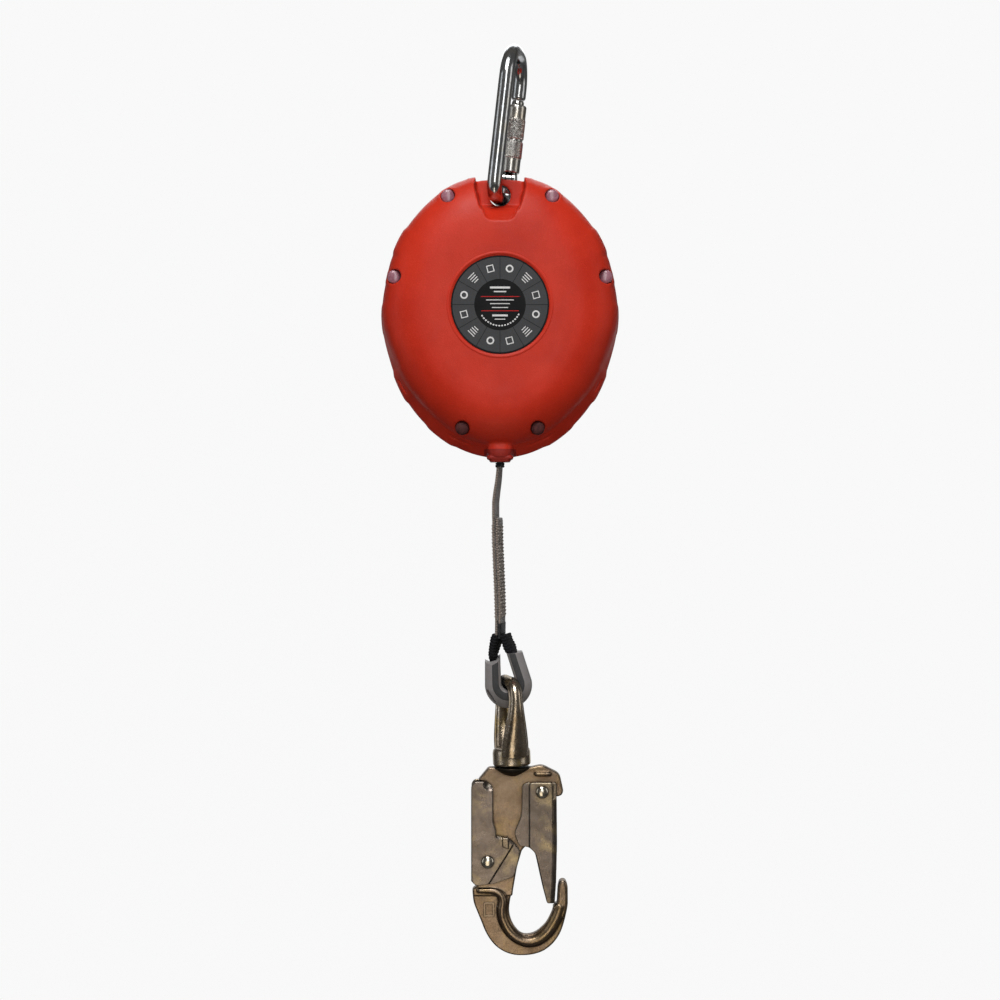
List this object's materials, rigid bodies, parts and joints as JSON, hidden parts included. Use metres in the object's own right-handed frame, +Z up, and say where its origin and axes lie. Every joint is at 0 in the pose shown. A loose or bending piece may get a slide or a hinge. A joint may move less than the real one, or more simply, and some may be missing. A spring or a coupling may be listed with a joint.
{
  "type": "self retracting lifeline",
  "caption": "Egg-shaped fall arrest block that pays out and rewinds a webbing lifeline, hung from a twist-lock connector, with a swivel snap hook on the line end.",
  "frame": {"origin": "centre of the bearing flat inside the crown of the anchor connector, where the anchor point carries the load", "axes": "+Z up along the hanging lifeline, +X to the right seen from the labelled front, +Y from the labelled front towards the rear"},
  "size_m": [0.1568, 0.0601, 0.5993],
  "materials": {
    "red_plastic": "fine satin moulded texture",
    "cap_plastic": "smooth translucent rose plugs",
    "label_film": "printed film, dark grey and black",
    "polished_steel": "polished and plated",
    "zinc_steel": "yellow-bronze zinc plating on forged and pressed steel",
    "screw_steel": "zinc plated",
    "mechanism_steel": "ground",
    "spring_steel": "blued spring strip and wire",
    "frame_alloy": "sheet and turned",
    "bush_brass": "sintered bearing bronze",
    "friction_lining": "moulded friction lining",
    "webbing": "tight woven webbing",
    "knit_sleeve": "tubular knit",
    "grey_polymer": "moulded polymer"
  },
  "bodies": {
    "anchor": {"anchor_connector_frame": "polished_steel", "anchor_gate_rivet": "polished_steel"},
    "gate_arm": {"anchor_gate": "polished_steel"},
    "lock_barrel": {"anchor_lock_sleeve": "polished_steel"},
    "case": {"front_shell": "red_plastic", "rear_shell": "red_plastic", "case_screw_1": "screw_steel", "case_screw_2": "screw_steel", "case_screw_3": "screw_steel", "case_screw_4": "screw_steel", "case_screw_5": "screw_steel", "case_screw_6": "screw_steel", "screw_cap_1": "cap_plastic", "screw_cap_2": "cap_plastic", "screw_cap_3": "cap_plastic", "screw_cap_4": "cap_plastic", "screw_cap_5": "cap_plastic", "screw_cap_6": "cap_plastic", "label_plate": "label_film", "webbing_outlet_guide": "red_plastic", "frame_plate_front": "frame_alloy", "frame_plate_rear": "frame_alloy", "eye_bush": "screw_steel", "frame_post_left": "screw_steel", "frame_post_right": "screw_steel", "shaft_bush_front": "bush_brass", "shaft_bush_rear": "bush_brass", "webbing_lead": "webbing", "webbing_line": "webbing", "friction_disc_inner": "friction_lining", "friction_disc_outer": "friction_lining", "pressure_plate": "mechanism_steel", "brake_screw_1": "screw_steel", "brake_screw_2": "screw_steel", "brake_screw_3": "screw_steel", "spring_case": "mechanism_steel", "power_spring": "spring_steel"},
    "drum": {"main_shaft": "screw_steel", "drum_hub": "frame_alloy", "drum_flange_front": "frame_alloy", "drum_flange_rear": "frame_alloy", "webbing_roll": "webbing", "pawl_carrier": "mechanism_steel", "pawl_spring_1": "spring_steel", "pawl_spring_2": "spring_steel"},
    "pawl_a": {"pawl_1": "mechanism_steel"},
    "pawl_b": {"pawl_2": "mechanism_steel"},
    "brake_ring": {"ratchet_ring": "mechanism_steel"},
    "line_end": {"webbing_end": "webbing", "wear_sleeve": "knit_sleeve", "thimble": "grey_polymer"},
    "eye": {"swivel_eye": "zinc_steel"},
    "hook": {"swivel_pin": "zinc_steel", "hook_body": "zinc_steel", "gate_rivet": "zinc_steel", "lock_rivet": "zinc_steel", "gate_spring": "spring_steel", "lock_spring": "spring_steel"},
    "snap_gate": {"hook_gate": "zinc_steel"},
    "snap_lock": {"hook_lock_lever": "zinc_steel"}
  },
  "joints": [
    {"name": "case_swing", "type": "hinge", "parent": "anchor", "child": "case", "pos_m": [-0.0103, 0, -0.09182], "axis": [0, 1, 0], "range_deg": [-18, 18], "stiffness_Nm_per_rad": 6},
    {"name": "anchor_gate_open", "type": "hinge", "parent": "anchor", "child": "gate_arm", "pos_m": [-0.00401, 0.02258, -0.07512], "axis": [0.9755, -0.1908, -0.1094], "range_deg": [0, 20], "stiffness_Nm_per_rad": 0.6, "springref_deg": -17.19},
    {"name": "lock_sleeve_twist", "type": "hinge", "parent": "gate_arm", "child": "lock_barrel", "pos_m": [-0.00106, 0.02258, -0.04879], "axis": [0.1115, 0, 0.9938], "range_deg": [0, 90], "stiffness_Nm_per_rad": 0.02, "springref_deg": -28.65},
    {"name": "line_payout", "type": "slide", "parent": "case", "child": "line_end", "axis": [0, 0, -1], "range_m": [0, 2.35], "stiffness_N_per_m": 5, "springref_m": -3, "deforming": ["webbing_line"]},
    {"name": "drum_spin", "type": "hinge", "parent": "case", "child": "drum", "pos_m": [-0.0103, 0, -0.16442], "axis": [0, 1, 0], "range_deg": [0, 4200]},
    {"name": "pawl_1_swing", "type": "hinge", "parent": "drum", "child": "pawl_a", "pos_m": [0.0097, -0.02, -0.16442], "axis": [0, 1, 0], "range_deg": [0, 20], "stiffness_Nm_per_rad": 0.05, "springref_deg": -17.19},
    {"name": "pawl_2_swing", "type": "hinge", "parent": "drum", "child": "pawl_b", "pos_m": [-0.0303, -0.02, -0.16442], "axis": [0, 1, 0], "range_deg": [0, 20]},
    {"name": "brake_slip", "type": "hinge", "parent": "case", "child": "brake_ring", "pos_m": [-0.0103, -0.0197, -0.16442], "axis": [0, 1, 0], "range_deg": [0, 360]},
    {"name": "eye_swing", "type": "hinge", "parent": "line_end", "child": "eye", "pos_m": [-0.0047, 0, -0.41042], "axis": [-0.2077, 0.9781, -0.0087], "range_deg": [-60, 60], "stiffness_Nm_per_rad": 3},
    {"name": "hook_swivel", "type": "hinge", "parent": "eye", "child": "hook", "pos_m": [-0.0024, 0, -0.46442], "axis": [0, 0, 1], "continuous": true},
    {"name": "hook_gate_open", "type": "hinge", "parent": "hook", "child": "snap_gate", "pos_m": [0.0174, 0, -0.48232], "axis": [0, 1, 0], "range_deg": [0, 17], "stiffness_Nm_per_rad": 0.4, "springref_deg": -22.92},
    {"name": "lock_lever_press", "type": "hinge", "parent": "hook", "child": "snap_lock", "pos_m": [-0.01835, 0, -0.52792], "axis": [0, 1, 0], "range_deg": [0, 7], "stiffness_Nm_per_rad": 0.4, "springref_deg": -22.92}
  ],
  "couplings": [
    {"joint": "drum_spin", "follows": "line_payout", "rad_per_m": 31.19},
    {"joint": "pawl_2_swing", "follows": "pawl_1_swing", "ratio": 1}
  ]
}
